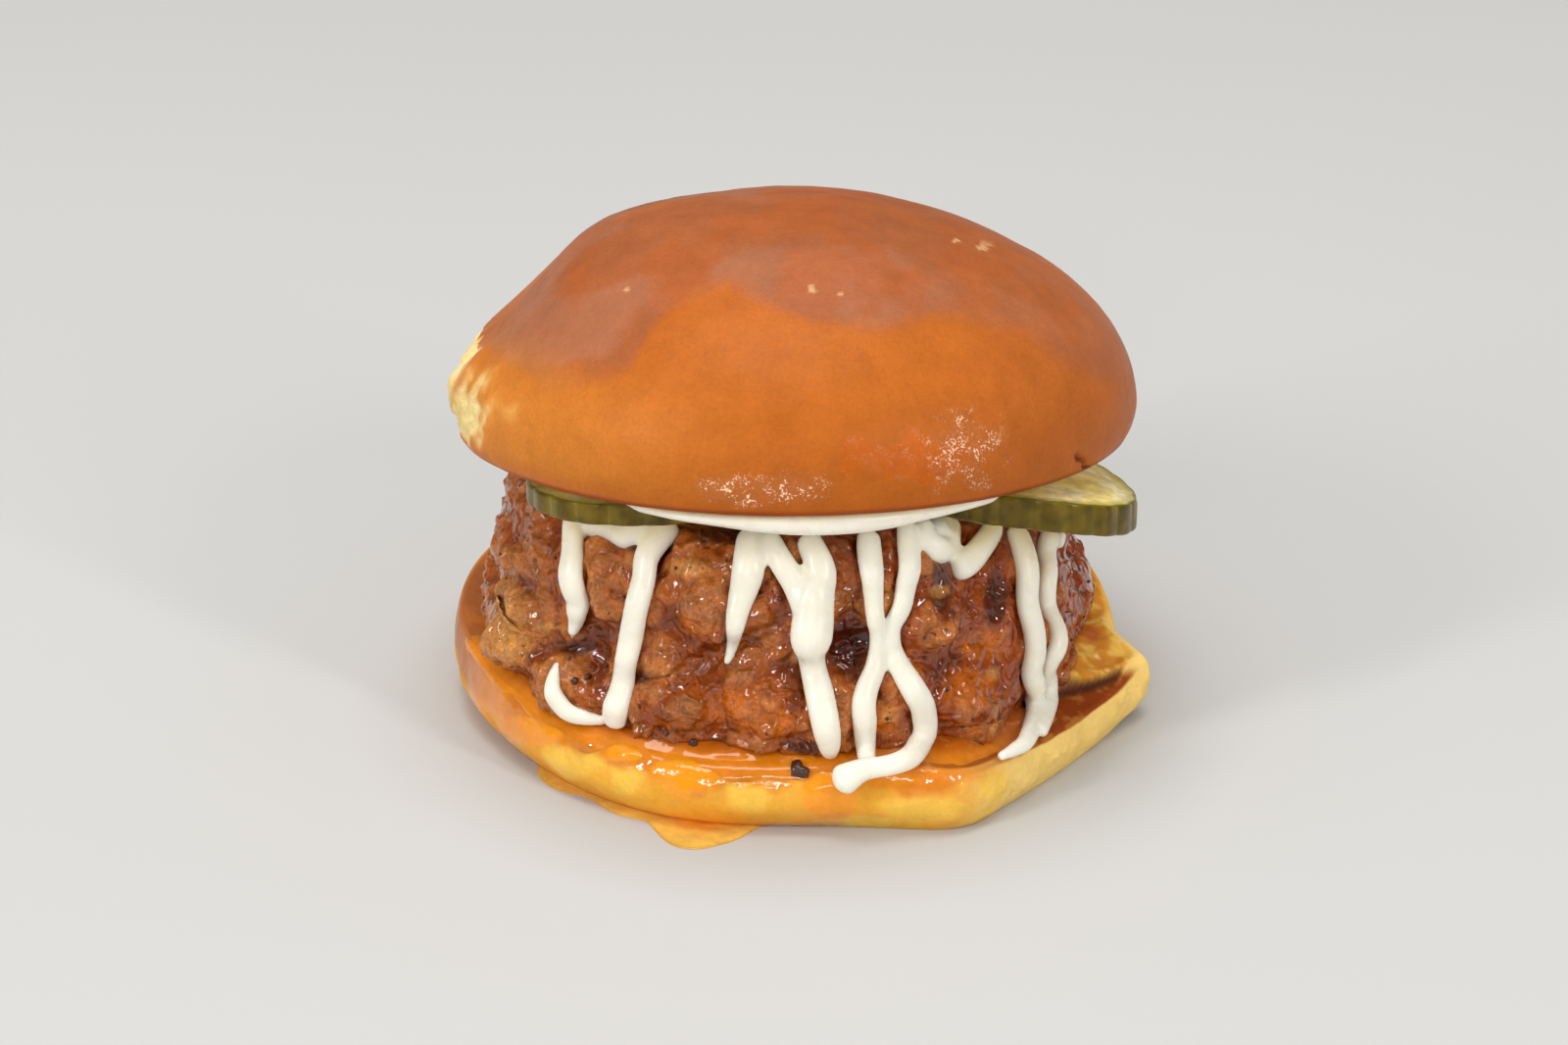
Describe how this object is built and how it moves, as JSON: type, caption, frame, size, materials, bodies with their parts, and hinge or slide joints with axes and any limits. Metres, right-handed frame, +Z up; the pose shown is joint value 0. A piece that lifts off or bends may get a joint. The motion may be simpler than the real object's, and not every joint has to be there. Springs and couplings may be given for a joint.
{
  "type": "chicken burger",
  "caption": "Fried chicken burger in a domed brioche bun, with pickle slices and mayonnaise drizzled down the glazed chicken",
  "frame": {"origin": "on the table, under the middle of the burger's bounding box", "axes": "+Z up, -Y towards the burger's front, +X to the right seen from the front"},
  "size_m": [0.1118, 0.1108, 0.0819],
  "materials": {
    "crown_crust": "baked brioche crust, satin, with a few glossy damp places",
    "mayonnaise": "smooth and creamy, softly glossy",
    "pickle": "wet, dark green skin and paler translucent flesh",
    "glazed_chicken": "craggy fried crust under a clear sticky glaze, with mayonnaise run down it",
    "heel_crumb": "soft yellow brioche, stained and glossy where sauce has run"
  },
  "bodies": {
    "root": {"top_bun": "crown_crust", "mayo_spread": "mayonnaise", "pickle_left": "pickle", "pickle_right": "pickle", "fried_chicken": "glazed_chicken", "bottom_bun": "heel_crumb"}
  },
  "joints": []
}
